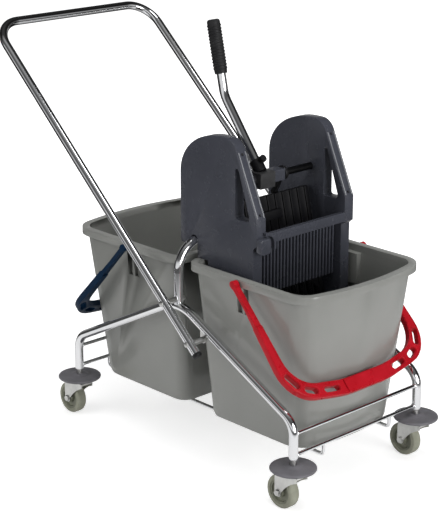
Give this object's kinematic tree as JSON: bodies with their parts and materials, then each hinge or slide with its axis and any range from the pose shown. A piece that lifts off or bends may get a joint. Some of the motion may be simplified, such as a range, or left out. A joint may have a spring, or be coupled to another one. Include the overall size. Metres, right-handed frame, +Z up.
{
  "type": "double mop bucket trolley",
  "caption": "Mop trolley with a bent tube frame on castors, a push handle, two lift-out buckets with bails and a lever wringer hooked over the frame's arch.",
  "frame": {"origin": "middle of the trolley's outline on the floor", "axes": "+X towards the front, away from the push handle, +Y towards the trolley's left, +Z up"},
  "size_m": [1.003, 0.4998, 0.966],
  "materials": {
    "chromed_tube": "bright chromed steel",
    "zinc_steel": "zinc plated, satin",
    "grey_plastic": "fine matt moulding",
    "slate_plastic": "satin moulding",
    "black_plastic": "matt",
    "black_rubber": "matt, ribbed",
    "red_plastic": "semi-gloss",
    "blue_plastic": "semi-gloss",
    "buffer_plastic": "matt, soft",
    "wheel_plastic": "matt",
    "tyre_rubber": "matt grey rubber"
  },
  "bodies": {
    "frame": {"side_rail_right": "chromed_tube", "side_rail_left": "chromed_tube", "arch_tube": "chromed_tube", "push_handle": "chromed_tube", "front_upper_rod": "chromed_tube", "front_lower_rod": "chromed_tube", "rear_upper_rod": "chromed_tube", "rear_lower_rod": "chromed_tube", "support_wire_right": "chromed_tube", "support_wire_left": "chromed_tube", "handle_end_caps": "black_plastic", "handle_brackets": "zinc_steel", "handle_spacers": "zinc_steel", "handle_bolts": "zinc_steel", "handle_nuts": "zinc_steel", "buffer_front_right": "buffer_plastic", "buffer_front_left": "buffer_plastic", "buffer_rear_right": "buffer_plastic", "buffer_rear_left": "buffer_plastic", "stem_front_right": "zinc_steel", "stem_front_left": "zinc_steel", "stem_rear_right": "zinc_steel", "stem_rear_left": "zinc_steel"},
    "front_bucket": {"front_bucket": "grey_plastic"},
    "rear_bucket": {"rear_bucket": "grey_plastic"},
    "front_bail": {"front_bail": "red_plastic"},
    "rear_bail": {"rear_bail": "blue_plastic"},
    "wringer": {"cheek_right": "slate_plastic", "cheek_left": "slate_plastic", "wringer_crossbar": "slate_plastic", "front_grate": "slate_plastic", "wringer_back": "slate_plastic", "catch_block": "slate_plastic", "jaw_pivot_rod": "zinc_steel"},
    "lever": {"lever_shaft": "zinc_steel", "lever_hub": "zinc_steel", "shaft_sleeve": "slate_plastic", "push_cranks": "black_plastic", "lever_tube": "chromed_tube", "lever_collar": "black_plastic", "lever_grip": "black_rubber", "lever_screw": "black_plastic"},
    "jaw": {"jaw_plate": "black_plastic"},
    "castor_front_right": {"fork_front_right": "zinc_steel", "axle_front_right": "zinc_steel"},
    "wheel_front_right": {"hub_front_right": "wheel_plastic", "tyre_front_right": "tyre_rubber"},
    "castor_front_left": {"fork_front_left": "zinc_steel", "axle_front_left": "zinc_steel"},
    "wheel_front_left": {"hub_front_left": "wheel_plastic", "tyre_front_left": "tyre_rubber"},
    "castor_rear_right": {"fork_rear_right": "zinc_steel", "axle_rear_right": "zinc_steel"},
    "wheel_rear_right": {"hub_rear_right": "wheel_plastic", "tyre_rear_right": "tyre_rubber"},
    "castor_rear_left": {"fork_rear_left": "zinc_steel", "axle_rear_left": "zinc_steel"},
    "wheel_rear_left": {"hub_rear_left": "wheel_plastic", "tyre_rear_left": "tyre_rubber"}
  },
  "joints": [
    {"name": "swivel_front_right", "type": "hinge", "parent": "frame", "child": "castor_front_right", "pos_m": [0.4515, -0.196, 0.086], "axis": [0, 0, 1], "continuous": true},
    {"name": "roll_front_right", "type": "hinge", "parent": "castor_front_right", "child": "wheel_front_right", "pos_m": [0.4235, -0.196, 0.0375], "axis": [0, 1, 0], "continuous": true},
    {"name": "swivel_front_left", "type": "hinge", "parent": "frame", "child": "castor_front_left", "pos_m": [0.4515, 0.196, 0.086], "axis": [0, 0, 1], "continuous": true},
    {"name": "roll_front_left", "type": "hinge", "parent": "castor_front_left", "child": "wheel_front_left", "pos_m": [0.4235, 0.196, 0.0375], "axis": [0, 1, 0], "continuous": true},
    {"name": "swivel_rear_right", "type": "hinge", "parent": "frame", "child": "castor_rear_right", "pos_m": [-0.2525, -0.196, 0.086], "axis": [0, 0, 1], "continuous": true},
    {"name": "roll_rear_right", "type": "hinge", "parent": "castor_rear_right", "child": "wheel_rear_right", "pos_m": [-0.2805, -0.196, 0.0375], "axis": [0, 1, 0], "continuous": true},
    {"name": "swivel_rear_left", "type": "hinge", "parent": "frame", "child": "castor_rear_left", "pos_m": [-0.2525, 0.196, 0.086], "axis": [0, 0, 1], "continuous": true},
    {"name": "roll_rear_left", "type": "hinge", "parent": "castor_rear_left", "child": "wheel_rear_left", "pos_m": [-0.2805, 0.196, 0.0375], "axis": [0, 1, 0], "continuous": true},
    {"name": "lift_front_bucket", "type": "slide", "parent": "frame", "child": "front_bucket", "axis": [0, 0, 1], "range_m": [0, 0.25]},
    {"name": "lift_rear_bucket", "type": "slide", "parent": "frame", "child": "rear_bucket", "axis": [0, 0, 1], "range_m": [0, 0.018]},
    {"name": "swing_front_bail", "type": "hinge", "parent": "front_bucket", "child": "front_bail", "pos_m": [0.2765, 0, 0.457], "axis": [0, -1, 0], "range_deg": [0, 137]},
    {"name": "swing_rear_bail", "type": "hinge", "parent": "rear_bucket", "child": "rear_bail", "pos_m": [-0.0775, 0, 0.457], "axis": [0, 1, 0], "range_deg": [0, 137]},
    {"name": "lift_wringer", "type": "slide", "parent": "front_bucket", "child": "wringer", "axis": [0, 0, 1], "range_m": [0, 0.03]},
    {"name": "pull_lever", "type": "hinge", "parent": "wringer", "child": "lever", "pos_m": [0.1855, 0, 0.63792], "axis": [0, 1, 0], "range_deg": [-50, 0], "stiffness_Nm_per_rad": 1.2, "springref_deg": 51.57},
    {"name": "press_jaw", "type": "hinge", "parent": "wringer", "child": "jaw", "pos_m": [0.2355, 0, 0.35], "axis": [0, 1, 0], "range_deg": [0, 10]}
  ],
  "couplings": [
    {"joint": "press_jaw", "follows": "pull_lever", "ratio": -0.2}
  ]
}
